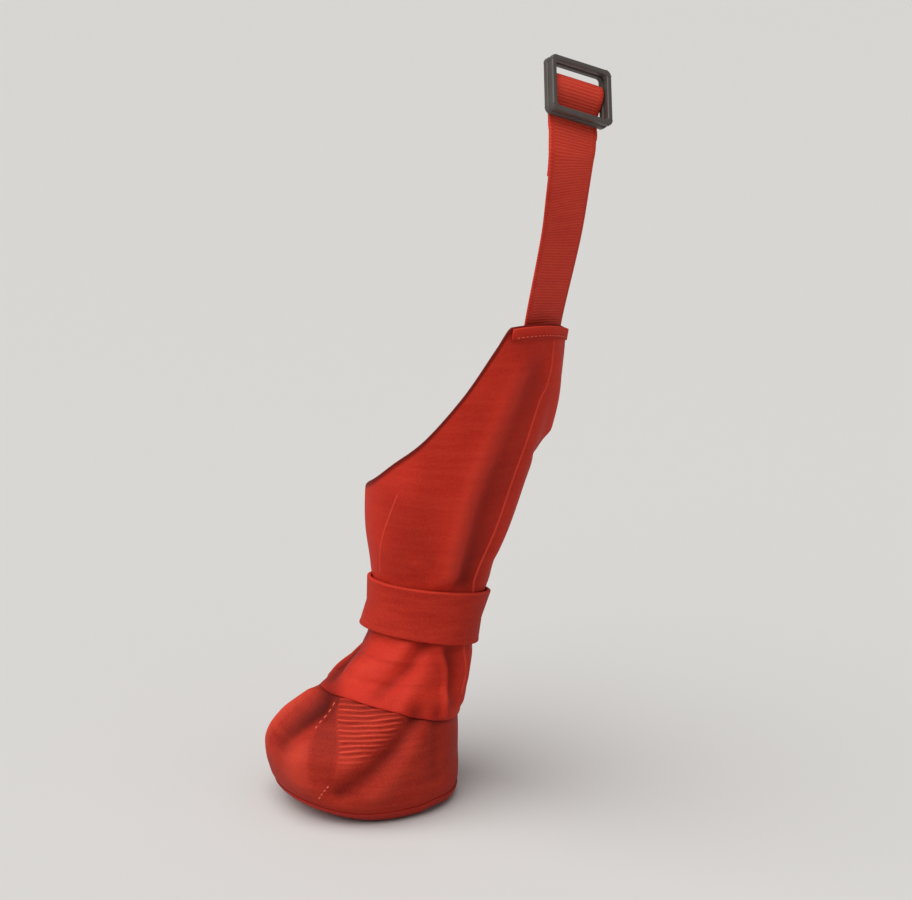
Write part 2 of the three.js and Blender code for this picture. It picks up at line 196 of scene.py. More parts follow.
def gridMesh(columns, rows, place, material=0, capEnds=False, materialAt=None):
    # place takes shares along the columns and rows, and gives points, a map in mm and a shade value, which
    # paints light and shade into the colour
    sheet = bmesh.new()
    bmesh.ops.create_grid(sheet, x_segments=columns, y_segments=rows, size=0.5)
    mesh = bpy.data.meshes.new("sheet")
    sheet.to_mesh(mesh)
    sheet.free()
    count = len(mesh.vertices)
    flat = np.empty(count * 3)
    mesh.vertices.foreach_get("co", flat)
    shares = np.round(flat.reshape(-1, 3)[:, :2] + 0.5, 6)
    points, mapped, shade = place(shares[:, 0], shares[:, 1])
    mesh.vertices.foreach_set("co", (points * millimetre).ravel())
    corners = np.empty(len(mesh.loops), dtype=np.int32)
    mesh.loops.foreach_get("vertex_index", corners)
    uvs = mesh.uv_layers.new(name="lay")
    uvs.data.foreach_set("uv", (mapped[corners] * millimetre).ravel())
    tone = mesh.attributes.new("shade", "FLOAT", "POINT")
    tone.data.foreach_set("value", np.ascontiguousarray(np.broadcast_to(shade, (count,)), dtype=np.float32))
    if materialAt:
        middles = shares[corners].reshape(-1, 4, 2).mean(1)
        slots = materialAt(middles[:, 0], middles[:, 1]).astype(np.int32)
    else:
        slots = np.full(len(mesh.polygons), material, dtype=np.int32)
    mesh.polygons.foreach_set("material_index", slots)
    piece = bmesh.new()
    piece.from_mesh(mesh)
    bpy.data.meshes.remove(mesh)
    bmesh.ops.remove_doubles(piece, verts=piece.verts, dist=weldGap)
    if capEnds:
        rims = [edge for edge in piece.edges if edge.is_boundary]
        bmesh.ops.holes_fill(piece, edges=rims, sides=0)
    bmesh.ops.recalc_face_normals(piece, faces=piece.faces)
    for face in piece.faces:
        face.smooth = True
    return piece


def addObject(name, data):
    made = bpy.data.objects.new(name, data)
    bpy.context.scene.collection.objects.link(made)
    return made


def finishPiece(name, node, materials, parts):
    mesh = bpy.data.meshes.new(name)
    whole = bmesh.new()
    for part in parts:
        part.to_mesh(mesh)
        whole.from_mesh(mesh)
        part.free()
    whole.to_mesh(mesh)
    whole.free()
    for material in materials:
        mesh.materials.append(material)
    piece = addObject(name, mesh)
    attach(piece, "root")
    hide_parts(node)
    print(name, "has", len(mesh.polygons), "faces")


def wallProfile(outerRings, innerRings):
    # rings up the outside, over the rim, down the inside and round the hem
    curl = np.arange(1, rimSteps + 1) * np.pi / (rimSteps + 1)
    flat = np.zeros(rimSteps)
    share = [np.linspace(0, 1, outerRings + 1), flat + 1, np.linspace(1, 0, innerRings + 1), flat, [0]]
    rise = [np.zeros(outerRings + 1), np.sin(curl), np.zeros(innerRings + 1), -np.sin(curl), [0]]
    out = [
        np.ones(outerRings + 1), 0.5 + 0.5 * np.cos(curl),
        np.zeros(innerRings + 1), 0.5 - 0.5 * np.cos(curl), [1],
    ]
    return np.concatenate(share), np.concatenate(rise), np.concatenate(out)


def liningAt(outerRings, innerRings, lining):
    # the faces from just inside the rim down to the hem take the lining
    last = outerRings + innerRings + 2 * rimSteps + 2

    def materialAt(u, v):
        ring = v * last
        return np.where((ring > outerRings + rimSteps) & (ring < last - rimSteps), lining, 0)

    return materialAt


# Each fold runs between two places on the cloth; bow swings its middle round the leg.
# width is how far it spreads, and the lifts are its height at each end, below nought for a trough.
clothFolds = table(
    "fromTurn fromHeight toTurn toHeight bow width fromLift toLift",
    # ankle, outer side: folds that fan out from under the strap
    (54, 68, 12, 55, 4, 6.5, 1.8, 1.4),
    (67, 72, 49, 51, 0, 3.4, -2.8, -1.2),
    (76, 60, 74, 46, 0, 5, 1.3, 1.7),
    (85, 70, 112, 42, 2, 1.7, 1.2, 2.2),
    (94, 66, 120, 46, 2, 3.4, -0.9, -1.2),
    (100, 70, 107, 52, 0, 4.5, -1.8, -0.9),
    (128, 66, 140, 44, 0, 3.5, 0.4, 1.2),
    (150, 70, 168, 46, 3, 3, -1.8, -1.2),
    (178, 66, 186, 44, 0, 5, 0.4, 1.4),
    # ankle, inner side
    (204, 70, 196, 46, 0, 3, -1.8, -1.4),
    (228, 66, 236, 44, 0, 4, 0.5, 1.5),
    (252, 70, 244, 48, 3, 3, -2.2, -1.6),
    (276, 66, 268, 46, 0, 5, 0.5, 1.6),
    (298, 71, 316, 52, 0, 3, -2.4, -2.2),
    (326, 74, 334, 51, 0, 11, -2.8, -3.2),
    (336, 70, 350, 54, -3, 4, 0.4, 1.0),
    # shaft, outer side: the long soft ridge and the flat behind it
    (92, 190, 77, 103, -5, 4.5, 1.2, 2.2),
    (107, 190, 93, 99, -5, 6, -1.1, -2.4),
    (117, 182, 108, 98, -2, 6, -0.7, -1.2),
    (46, 158, 56, 104, 0, 6, -0.3, -0.7),
    (28, 126, 36, 98, 2, 10, -0.6, -0.8),
    (122, 200, 124, 110, 0, 5, 0.8, 0.6),
    (48, 108, 66, 99, 0, 4, 0.6, 0.8),
    # shaft, back and inner side
    (127, 190, 150, 160, 0, 4.5, 1.2, 2.4),
    (140, 152, 158, 143, 0, 4, -1.4, -1.8),
    (150, 140, 146, 104, 4, 7, -0.8, -1.8),
    (180, 138, 176, 100, 0, 6, 0.9, 1.2),
    (212, 126, 216, 100, 0, 7, -1, -1.8),
    (246, 114, 240, 98, 0, 6, 0.6, 1.2),
    (286, 116, 292, 98, 0, 7, -0.8, -1.8),
    (330, 130, 322, 98, 0, 8, 0.6, 0.9),
    # paw, front and outer side
    (-24, 43, -30, 26, 0, 5.5, 2.6, 1.2),
    (2, 43, -5, 32, 0, 9, -4.2, -2.8),
    (20, 27, 24, 18, 0, 8, 1.8, 1.4),
    (84, 44, 50, 16, 8, 4.6, -2.8, -2.4),
    (88, 36, 70, 14, 6, 5, 1.0, 1.2),
    (60, 38, 56, 28, 0, 8, 0.9, 1.1),
    (108, 42, 112, 16, 0, 5, -1.4, -1.0),
    # paw, back and inner side
    (160, 34, 158, 14, 0, 7, 0.8, 0.6),
    (206, 34, 214, 14, 0, 5, -1.2, -0.8),
    (250, 40, 262, 16, 4, 4.5, -1.8, -1.4),
    (284, 30, 280, 18, 0, 8, 1.3, 1.0),
    (310, 44, 300, 16, -4, 4.5, -2.2, -1.6),
    (334, 34, 330, 20, 0, 8, 1.2, 1.0),
)
cloth = {
    "skin": 3,  # off the form, where folds are measured
    "foldSteps": 10,
    "rippleSize": 9,
    "rippleDepth": 0.25,
    "held": 0.12,  # share of a fold that is left under the strap
    "heldTrough": 0.35,
    # painted highlight on fold ridges and painted shade in fold troughs, for each mm of lift
    "ridgeShade": 0.11,
    "troughShade": 0.14,
}


def foldLine(folds, row):
    t = np.linspace(0, 1, cloth["foldSteps"] + 1)
    start, end = folds["fromTurn"][row], folds["toTurn"][row]
    low, high = folds["fromHeight"][row], folds["toHeight"][row]
    turn = start + (end - start) * t + folds["bow"][row] * np.sin(np.pi * t)
    return grownPoint(turn, low + (high - low) * t, cloth["skin"])


def foldLift(points, folds):
    # how far the folds move the cloth at each point, measured on the cloth's own surface
    total = np.zeros(len(points))
    for row in range(len(folds["width"])):
        line = foldLine(folds, row)
        nearest = np.full(len(points), 1e9)
        along = np.zeros(len(points))
        for step in range(cloth["foldSteps"]):
            a, run = line[step], line[step + 1] - line[step]
            t = np.clip((points - a) @ run / (run @ run), 0, 1)
            gap = ((points - a - t[:, None] * run) ** 2).sum(1)
            closer = gap < nearest
            nearest[closer] = gap[closer]
            along[closer] = (step + t[closer]) / cloth["foldSteps"]
        lift = folds["fromLift"][row] + (folds["toLift"][row] - folds["fromLift"][row]) * along
        total += lift * np.exp(-nearest / folds["width"][row] ** 2)
    return total


def clothRipple(points, size, depth):
    # small uneven waves, the same at each run
    wave = 0
    for k, direction in enumerate(((1, 0.3, 0.2), (-0.4, 1, 0.3), (0.3, -0.5, 1), (0.8, 0.7, -0.6))):
        reach = points @ np.array(direction) / size
        wave = wave + np.sin(reach * (1.1 + 0.37 * k) + 1.7 * k)
    return depth * wave / 4


# gathered ribs on the outer front of the paw; slope is their fall in mm for a degree of turn
ribs = {
    "pitch": 1.75,
    "lift": 0.95,
    "slope": 0.047,
    "low": 25,
    "fadeIn": 9,
    "fadeSide": 9,
}
ribLeft = table(
    "height turn",
    (12.5, 33), (21.2, 45), (29.5, 46), (34.6, 41), (38.8, 34), (43.2, 24), (48.9, 12),
)
ribRight = table("height turn", (16, 50), (23, 60), (28.6, 67), (33, 72), (36.5, 77), (43.8, 80), (49, 82))
# lens-shaped gusset at the front, between the toe panel and the ribs
gussetLeft = table("height turn", (12.5, 33), (20, 32), (28, 28), (35, 22), (42.1, 15.5), (48.9, 12))
gussetRight = table(
    "height turn",
    (12.5, 33), (21.2, 44), (29.5, 45.5), (34.6, 40.5), (38.8, 33.5), (43.2, 23.5), (48.9, 12),
)
gussetTop = table("height turn", (36, 20.5), (42.1, 15.5), (48, 12.4))
gussetFoot = table("height turn", (12.5, 33), (21.2, 44))
ribEdge = table("height turn", (36.5, 75), (41, 77), (45, 79))


def gussetShare(turn, height):
    # one inside the gusset and nought outside it
    left = readRows(gussetLeft, "height", height, "turn")
    right = readRows(gussetRight, "height", height, "turn")
    low = smoothStep(height, 15, 27)
    return low * smoothStep(turn, left - 2, left + 3) * smoothStep(-turn, -right - 2, -right + 1)


def ribLift(turn, height):
    left = readRows(ribLeft, "height", height, "turn")
    right = readRows(ribRight, "height", height, "turn")
    inside = smoothStep(turn, left, left + 2.5) * smoothStep(-turn, -right, -right + ribs["fadeSide"])
    inside = inside * smoothStep(height, ribs["low"], ribs["low"] + ribs["fadeIn"])
    level = height - ribs["slope"] * (turn - 40)
    waver = 0.5 * np.sin(np.radians(turn) * 7 + level * 0.5) + 0.3 * np.sin(np.radians(turn) * 17 + level)
    crest = 0.5 + 0.5 * np.cos(2 * np.pi * (level / ribs["pitch"]) + waver)
    swell = 0.75 + 0.25 * np.sin(np.radians(turn) * 13 + level * 2.1)
    return ribs["lift"] * inside * swell * (crest**2.2 - 0.3)


def clothLift(turn, height):
    # folds and ripples of the loose cloth; the strap holds it down
    points = grownPoint(turn, height, cloth["skin"])
    pastStrap = np.abs(height - strapHeight(turn)) - strap["width"] / 2
    free = cloth["held"] + (1 - cloth["held"]) * smoothStep(pastStrap, -3, 3)
    freeTrough = cloth["heldTrough"] + (1 - cloth["heldTrough"]) * free
    lift = foldLift(points, clothFolds)
    lift = lift * np.where(lift > 0, free, freeTrough)
    return lift + clothRipple(points, cloth["rippleSize"], cloth["rippleDepth"]) * free


def shadeOfLift(lift):
    # half is the plain cloth; more is a painted highlight on a fold's ridge and less a painted shade in its
    # trough
    slope = np.where(lift > 0, cloth["ridgeShade"], cloth["troughShade"])
    return np.clip(0.5 + lift * slope, 0, 1)


def screenColour(red, green, blue):
    # screen values to the linear ones that a shader takes
    linear = [c / 255 / 12.92 if c < 10 else ((c / 255 + 0.055) / 1.055) ** 2.4 for c in (red, green, blue)]
    return (*linear, 1)


def startMaterial(name):
    material = bpy.data.materials.new(name)
    material.use_nodes = True
    graph = material.node_tree
    return material, graph, graph.nodes["Principled BSDF"]


def wire(graph, node, inputs):
    # each input takes a plain value or another node's output
    for key, value in inputs.items():
        if isinstance(value, bpy.types.NodeSocket):
            graph.links.new(value, node.inputs[key])
        else:
            node.inputs[key].default_value = value


def addNode(graph, kind, settings, inputs):
    node = graph.nodes.new(kind)
    for key, value in settings.items():
        setattr(node, key, value)
    wire(graph, node, inputs)
    return node


def mixColours(graph, share, first, second):
    inputs = {0: share, 6: first, 7: second}
    return addNode(graph, "ShaderNodeMix", {"data_type": "RGBA"}, inputs).outputs[2]


def spread(graph, source, low, high, toLow=0.0, toHigh=1.0):
    inputs = {0: source, 1: low, 2: high, 3: toLow, 4: toHigh}
    return addNode(graph, "ShaderNodeMapRange", {}, inputs).outputs[0]


def noise(graph, place, scale, detail, roughness=0.5):
    inputs = {"Vector": place, "Scale": scale, "Detail": detail, "Roughness": roughness}
    return addNode(graph, "ShaderNodeTexNoise", {}, inputs).outputs["Fac"]


def waves(graph, place, direction, scale, inputs):
    inputs = {"Vector": place, "Scale": scale, "Detail": 1.0, **inputs}
    return addNode(graph, "ShaderNodeTexWave", {"bands_direction": direction}, inputs).outputs["Fac"]


def clothMaterial(name, look):
    # knitted face cloth: fine courses along the map, heathered colour, painted highlight on crests and
    # painted shade in troughs
    material, graph, shader = startMaterial(name)
    place = addNode(graph, "ShaderNodeTexCoord", {}, {}).outputs["Object"]
    lay = addNode(graph, "ShaderNodeUVMap", {"uv_map": "lay"}, {}).outputs["UV"]
    shade = addNode(graph, "ShaderNodeAttribute", {"attribute_name": "shade"}, {}).outputs["Fac"]
    stretch = addNode(graph, "ShaderNodeMapping", {}, {"Vector": lay, "Scale": look["stretch"]})
    blotch = noise(graph, place, look["blotch"], 4.0, 0.6)
    heather = noise(graph, place, look["heather"], 2.0)
    slub = noise(graph, stretch.outputs["Vector"], look["slub"], 3.0)
    base = mixColours(graph, spread(graph, blotch, 0.3, 0.7), look["deep"], look["colour"])
    tints = (
        ("light", spread(graph, slub, 0.35, 0.75, 0.0, look["slubShare"])),
        ("light", spread(graph, heather, 0.3, 0.8, 0.0, look["heatherShare"])),
        # the shade value below a half mixes in the painted shade colour, and above a half the painted
        # highlight
        ("trough", spread(graph, shade, 0.5, 0.0, 0.0, look["troughShare"])),
        ("light", spread(graph, shade, 0.55, 1.0, 0.0, look["ridgeShare"])),
    )
    for tint, share in tints:
        base = mixColours(graph, share, base, look[tint])
    course = waves(graph, lay, "Y", look["course"], {"Distortion": 1.2, "Detail Scale": 2.0})
    wale = waves(graph, lay, "X", look["course"] * 1.25, {"Distortion": 1.0})
    halved = {0: wale, 1: 0.5, 2: course}
    knit = addNode(graph, "ShaderNodeMath", {"operation": "MULTIPLY_ADD"}, halved).outputs[0]
    grain = {"Strength": 0.5, "Distance": look["grain"] * millimetre, "Height": knit}
    fine = addNode(graph, "ShaderNodeBump", {}, grain).outputs["Normal"]
    swell = {"Strength": 0.5, "Distance": look["swell"] * millimetre, "Height": slub, "Normal": fine}
    wire(graph, shader, {
        "Base Color": base,
        "Roughness": spread(graph, slub, 0.3, 0.7, look["rough"] - 0.06, look["rough"] + 0.08),
        "Sheen Weight": look["sheen"],
        "Sheen Roughness": 0.4,
        "Sheen Tint": look["light"],
        "Specular IOR Level": 0.1,
        "Normal": addNode(graph, "ShaderNodeBump", {}, swell).outputs["Normal"],
    })
    return material


def hardMaterial(name, look):
    # moulded plastic or rubber: cloudy colour with a fine grain
    material, graph, shader = startMaterial(name)
    place = addNode(graph, "ShaderNodeTexCoord", {}, {}).outputs["Object"]
    grain = noise(graph, place, look["grain"], look["detail"])
    cloud = noise(graph, place, look["cloud"], 3.0)
    bump = {"Strength": look["bump"], "Distance": look["depth"] * millimetre, "Height": grain}
    wire(graph, shader, {
        "Base Color": mixColours(graph, cloud, look["deep"], look["colour"]),
        "Roughness": spread(graph, grain, 0.3, 0.7, look["smooth"], look["coarse"]),
        "Specular IOR Level": look["gloss"],
        "Normal": addNode(graph, "ShaderNodeBump", {}, bump).outputs["Normal"],
    })
    return material


redCloth = {
    "colour": screenColour(186, 38, 23),
    "deep": screenColour(172, 32, 19),
    # light is the slubs' and heather's lighter tone and also the painted highlight; trough is the painted
    # shade colour
    "light": screenColour(222, 74, 54),
    "trough": screenColour(80, 12, 5),
    "blotch": 38.0,
    "heather": 1400.0,
    "heatherShare": 0.25,
    "slub": 300.0,
    "slubShare": 0.22,
    "stretch": (0.16, 1.0, 1.0),
    "troughShare": 0.85,
    "ridgeShare": 0.8,
    "course": 560.0,
    "grain": 0.1,
    "swell": 0.25,
    "rough": 0.62,
    "sheen": 0.02,
}
faceCloth = clothMaterial("faceCloth", redCloth)
# the paw's cloth is the face cloth darkened: partly a deeper wine tone of its own, partly painted shade
pawCloth = clothMaterial("pawCloth", {
    **redCloth,
    "colour": screenColour(148, 30, 17),
    "deep": screenColour(136, 25, 13),
    "light": screenColour(222, 76, 56),
    "trough": screenColour(64, 8, 3),
})
liningCloth = clothMaterial("liningCloth", {
    **redCloth,
    "colour": screenColour(124, 24, 17),
    "deep": screenColour(104, 18, 13),
    "light": screenColour(150, 40, 30),
    "rough": 0.85,
})
bandCloth = clothMaterial("bandCloth", {
    **redCloth,
    "colour": screenColour(170, 34, 21),
    "deep": screenColour(158, 29, 17),
    "rough": 0.66,
})
webCloth = clothMaterial("webCloth", {
    **redCloth,
    "colour": screenColour(196, 47, 31),
    "deep": screenColour(184, 40, 25),
    "light": screenColour(230, 88, 68),
    "trough": screenColour(100, 16, 9),
    "rough": 0.55,
})
# seams in a lighter red: partly the piping's own colour, partly painted highlight on the seam ridges
seamCloth = clothMaterial("seamCloth", {
    **redCloth,
    "colour": screenColour(204, 58, 42),
    "deep": screenColour(192, 50, 35),
})
threadCloth = clothMaterial("threadCloth", {
    **redCloth,
    "colour": screenColour(214, 90, 70),
    "deep": screenColour(204, 80, 60),
    "light": screenColour(228, 116, 96),
    "rough": 0.55,
})


def surfaceLine(route, grow, spacing, lifted=True):
    # evenly spaced points along a route of turns and heights, with their way on, aside and outward
    steps = np.linspace(0, len(route["turn"]) - 1, 400)
    order = {"at": np.arange(len(route["turn"]), dtype=float), **route}
    turn = readRows(order, "at", steps, "turn")
    height = readRows(order, "at", steps, "height")
    grows = grow + (clothLift(turn, height) if lifted else 0)
    path = grownPoint(turn, height, grows)
    lengths = runLengths(np.linalg.norm(np.diff(path, axis=0), axis=1))
    count = max(int(lengths[-1] / spacing), 2)
    even = np.linspace(0, lengths[-1], count + 1)

    def pick(values):
        return np.stack([np.interp(even, lengths, column) for column in values.T], -1)

    points, normals = pick(path), unit(pick(formNormal(turn, height)))
    heading = unit(np.gradient(points, axis=0))
    return points, heading, np.cross(normals, heading), normals


seam = {
    "spacing": 0.8,
    "sides": 10,
    "sunk": 0.3,
    "taper": 3,  # steps over which each end narrows
    # a little painted highlight along the seam cords
    "shade": 0.62,
    "threadShade": 0.6,
}


def seamRidge(route, grow, width, lift, material):
    # a closed cord laid along the cloth, half sunk into it
    points, _, across, normals = surfaceLine(route, grow, seam["spacing"])
    count = len(points) - 1

    def place(u, v):
        i = np.rint(u * count).astype(int)
        angle = 2 * np.pi * v
        taper = np.clip(np.minimum(i, count - i) / seam["taper"], 0.05, 1)
        side = -np.cos(angle) * width / 2 * taper
        high = np.where(np.sin(angle) > 0, lift + seam["sunk"], seam["sunk"])
        rise = np.sin(angle) * high * taper - seam["sunk"]
        spots = points[i] + across[i] * side[:, None] + normals[i] * rise[:, None]
        return spots, np.stack([i * seam["spacing"], v * width], -1), seam["shade"]

    return gridMesh(count, seam["sides"], place, material, capEnds=True)


def stitchRow(route, grow, offset, material, pitch=2.4, length=1.7, radius=0.24, lifted=True):
    # thread stitches, each a small rounded bead sunk by a third into the cloth
    points, heading, across, normals = surfaceLine(route, grow, pitch, lifted)
    row = bmesh.new()
    for i in range(1, len(points) - 1):
        spot = Vector(points[i] + across[i] * offset + normals[i] * radius * 0.35)
        axes = Matrix((heading[i], across[i], normals[i])).transposed().to_4x4()
        size = Matrix.Diagonal((length / 2, radius, radius, 1))
        lay = Matrix.Scale(millimetre, 4) @ Matrix.Translation(spot) @ axes @ size
        bmesh.ops.create_uvsphere(row, u_segments=6, v_segments=4, radius=1, matrix=lay)
    tone = row.verts.layers.float.new("shade")
    row.loops.layers.uv.new("lay")
    for vert in row.verts:
        vert[tone] = seam["threadShade"]
    for face in row.faces:
        face.smooth = True
        face.material_index = material
    return row


rearSeam = table(
    "turn height",
    (116, 204), (120, 183), (117, 175), (115, 150), (113, 123), (110, 102), (113, 84),
    (119, 65), (127, 56), (132, 46),
)
rearSeamLow = table("turn height", (124, 44), (125, 35), (133, 25), (143, 15), (148, 9))
frontSeam = table("turn height", (27, 139), (20, 128), (8, 110), (2, 98))
innerSeam = table("turn height", (245, 118), (246, 100), (242, 84), (238, 65), (232, 50), (230, 42))
innerSeamLow = table("turn height", (232, 42), (236, 30), (230, 18), (224, 9))


# upper: the bag round the paw
upper = {
    "wall": 1.8,
    "tuck": 8,
    "turns": 300,
    "outerRings": 132,
    "innerRings": 30,
    "clear": 0.3,
    "hidden": 0.35,  # how far the bag draws in under the shaft
    # painted light and shade: highlight on the rib crests, and shade in their grooves, over the gusset and
    # under the shaft's hem
    "ribShade": 0.75,
    "grooveShade": 0.7,
    "gussetShade": 0.2,
    "hemShade": 0.16,
    "hemShadow": 3.5,  # height of the shade under the shaft's hem
    "mapTurn": 0.62,
}


def pawWall(turn, height, grow):
    # below its widest the bag's wall is level, and above it stands off square
    under = height < widestHeight
    return np.where(under[:, None], levelPoint(turn, height, grow), grownPoint(turn, height, grow))


def makeUpper():
    share, rise, out = wallProfile(upper["outerRings"], upper["innerRings"])
    rim = upper["wall"] / 2

    def place(u, v):
        ring = np.rint(v * (len(share) - 1)).astype(int)
        turn = 360 * u - 90
        footing = formPoint(turn, sole["rimHeight"])[:, 1]
        low = soleRise(footing) + sole["lug"] + sole["skin"] + upper["clear"] + rim
        high = hemHeight(turn) + upper["tuck"] - rim
        height = low + share[ring] * (high - low) + rise[ring] * rim
        lift = clothLift(turn, height)
        lift = lift * smoothStep(height, low + 3, low + 11) + 0.5 * smoothStep(height, low + 1, low + 5)
        hem = hemHeight(turn)
        bare = smoothStep(hem - height, -1, 1)
        rib = ribLift(turn, height) * bare
        lift = lift + rib - upper["hidden"] * (1 - bare)
        spots = pawWall(turn, height, out[ring] * upper["wall"] + lift)
        # painted highlight on the rib crests and painted shade in their grooves, painted shade over the
        # gusset and painted shadow under the shaft's hem
        shade = shadeOfLift(lift - rib) + rib * np.where(rib > 0, upper["ribShade"], upper["grooveShade"])
        shade = shade - upper["gussetShade"] * gussetShare(turn, height)
        shade = shade - upper["hemShade"] * smoothStep(height, hem - upper["hemShadow"], hem)
        return spots, np.stack([turn * upper["mapTurn"], height], -1), np.clip(shade, 0, 1)

    lined = liningAt(upper["outerRings"], upper["innerRings"], 3)
    skin = upper["wall"]
    parts = [
        gridMesh(upper["turns"], len(share) - 1, place, materialAt=lined),
        seamRidge(gussetLeft, skin, 1.1, 0.2, 1),
        seamRidge(gussetRight, skin, 1.1, 0.25, 1),
        stitchRow(gussetTop, skin, 0.9, 2, pitch=2.9, length=2.3, radius=0.42),
        stitchRow(gussetFoot, skin, -0.9, 2, pitch=2.2, length=2.1, radius=0.42),
        stitchRow(ribEdge, skin, 0, 2, pitch=2.8, length=1.9, radius=0.34),
        seamRidge(rearSeamLow, skin, 1.3, 0.35, 1),
        seamRidge(innerSeamLow, skin, 1.3, 0.35, 1),
    ]
    materials = [pawCloth, seamCloth, threadCloth, liningCloth]
    finishPiece("upperCloth", "upper", materials, parts)


# shaft: the sleeve up the leg, with its tall tab
shaft = {
    "wall": 1.8,
    "inside": 2.5,
    "turns": 340,
    "outerRings": 150,
    "innerRings": 70,
    "crowd": 0.3,
    "crowdTurn": 118,  # where the columns lie closest
    "hemDraw": 0.45,  # how far the hem closes in at the front
    "hemThin": 0.5,  # share of the wall that the hem loses
    "collarShadow": 3.2,  # height of the dark edge at the collar
    "mapTurn": 0.5,
}


def shaftTurn(u):
    # the rings' points crowd towards the sharp folds behind the outer side
    even = 360 * u - 90
    crowd = np.degrees(shaft["crowd"])
    start = crowd * np.sin(np.radians(-90 - shaft["crowdTurn"]))
    return even - crowd * np.sin(np.radians(even - shaft["crowdTurn"])) + start


def shaftWall(turn, height):
    # the cloth thins and closes in towards its hem, most at the front
    thin = 1 - smoothStep(height, hemHeight(turn) + 1, hemHeight(turn) + 10)
    front = smoothStep(np.cos(np.radians(turn)), -0.3, 0.7)
    inside = shaft["inside"] - shaft["hemDraw"] * thin * front
    return inside, shaft["wall"] * (1 - shaft["hemThin"] * thin)


def makeShaft():
    share, rise, out = wallProfile(shaft["outerRings"], shaft["innerRings"])
    rim = shaft["wall"] / 2

    def place(u, v):
        ring = np.rint(v * (len(share) - 1)).astype(int)
        turn = shaftTurn(u)
        low, high = hemHeight(turn) + rim, collarHeight(turn) - rim
        height = low + share[ring] * (high - low) + rise[ring] * rim
        lift = clothLift(turn, height)
        # painted shadow darkens the cloth towards the collar's edge
        edge = smoothStep(height, high - shaft["collarShadow"], high - 0.4)
        shade = shadeOfLift(lift) * (1 - edge)
        inside, wall = shaftWall(turn, height)
        spots = grownPoint(turn, height, inside + out[ring] * wall + lift)
        return spots, np.stack([turn * shaft["mapTurn"], height], -1), shade

    lined = liningAt(shaft["outerRings"], shaft["innerRings"], 2)
    outside = shaft["inside"] + shaft["wall"]
    parts = [
        gridMesh(shaft["turns"], len(share) - 1, place, materialAt=lined),
        seamRidge(rearSeam, outside, 1.5, 0.3, 1),
        seamRidge(innerSeam, outside, 1.1, 0.25, 1),
        seamRidge(frontSeam, outside, 1.3, 0.26, 1),
    ]
    finishPiece("shaftCloth", "shaft", [faceCloth, seamCloth, liningCloth], parts)


# ankle strap: one band, once round and lapped over itself
strap = {
    "width": 25,
    "thickness": 1.9,
    "tilt": 4.2,  # higher at the toe side than at the heel side
    "slant": 2.5,  # higher on the outer side than on the inner side
    "drop": 2.9,  # below the ankle
    "start": 200,  # turn at which the inner end lies
    "overlap": 48,  # degrees that lie double
    "ramp": 26,  # degrees over which the outer layer climbs
    "clear": 0.7,
    "square": (0.1, 0.22),
    "steps": 420,
    "section": 28,
    "rippleSize": 7,
    "rippleDepth": 0.22,
    # painted highlight along the band's top edge
    "edgeShade": 0.18,
}


def strapHeight(turn):
    around = np.radians(turn)
    lean = strap["tilt"] * np.cos(around) + strap["slant"] * np.sin(around)
    return form["ankleHeight"] - strap["drop"] + lean


def makeStrap():
    length = 360 + strap["overlap"]
    half = strap["width"] / 2
    thick = strap["thickness"]

    def place(u, v):
        along = u * length
        layer = smoothStep(along, 360 - strap["ramp"], 359)
        turn = strap["start"] + along
        side, face = bandSection(v, *strap["square"])
        height = strapHeight(turn) + side * half * np.cos(np.radians(form["legLean"]))
        inside = shaft["inside"] + shaft["wall"] + strap["clear"]
        inside = inside + layer * (thick + strap["clear"])
        bare = grownPoint(turn, height, inside)
        ripple = clothRipple(bare, strap["rippleSize"], strap["rippleDepth"])
        spots = grownPoint(turn, height, inside + (0.5 + 0.5 * face) * thick + ripple)
        # painted highlight along the top edge, and painted light and shade that follows the ripples
        shade = 0.5 + ripple * 0.3 + strap["edgeShade"] * smoothStep(side, 0.955, 0.98)
        return spots, np.stack([along * 0.4, height], -1), shade

    turns = strap["start"] + np.linspace(0, length, strap["steps"])
    line = grownPoint(turns, strapHeight(turns), shaft["inside"] + shaft["wall"] + thick)
    print("strap length", round(float(np.linalg.norm(np.diff(line, axis=0), axis=1).sum())), "mm")
    band = gridMesh(strap["steps"], strap["section"], place, capEnds=True)
    finishPiece("ankleStrap", "ankle_strap", [bandCloth], [band])


# tab hem: the folded edge across the top of the tab
tabHem = {
    "height": 5,
    "thickness": 1.1,
    "first": 83,
    "last": 131,
    "clear": 0.3,
    "square": (0.3, 0.45),
    "stitchDown": 4.2,  # below the tab's top edge
    "pitch": 2,
    "stitch": 1.5,
}


def makeTabHem():
    def place(u, v):
        turn = tabHem["first"] + u * (tabHem["last"] - tabHem["first"])
        side, face = bandSection(v, *tabHem["square"])
        height = collarHeight(turn) - (1 - side) / 2 * tabHem["height"] - tabHem["clear"]
        inside = shaft["inside"] + shaft["wall"] + tabHem["clear"]
        grow = inside + (0.5 + 0.5 * face) * tabHem["thickness"]
        # painted highlight along the fold's top edge and painted shade along its lower edge
        return grownPoint(turn, height, grow), np.stack([turn * 0.6, height], -1), 0.5 + 0.2 * side

    fold = gridMesh(60, 20, place, capEnds=True)
    turns = np.linspace(tabHem["first"] + 1, tabHem["last"] - 1, 9)
    route = {"turn": turns, "height": collarHeight(turns) - tabHem["stitchDown"]}
    outside = shaft["inside"] + shaft["wall"] + tabHem["clear"] + tabHem["thickness"]
    line = stitchRow(route, outside, 0, 1, pitch=tabHem["pitch"], length=tabHem["stitch"], lifted=False)
    finishPiece("tabFold", "tab_hem", [faceCloth, threadCloth], [fold, line])


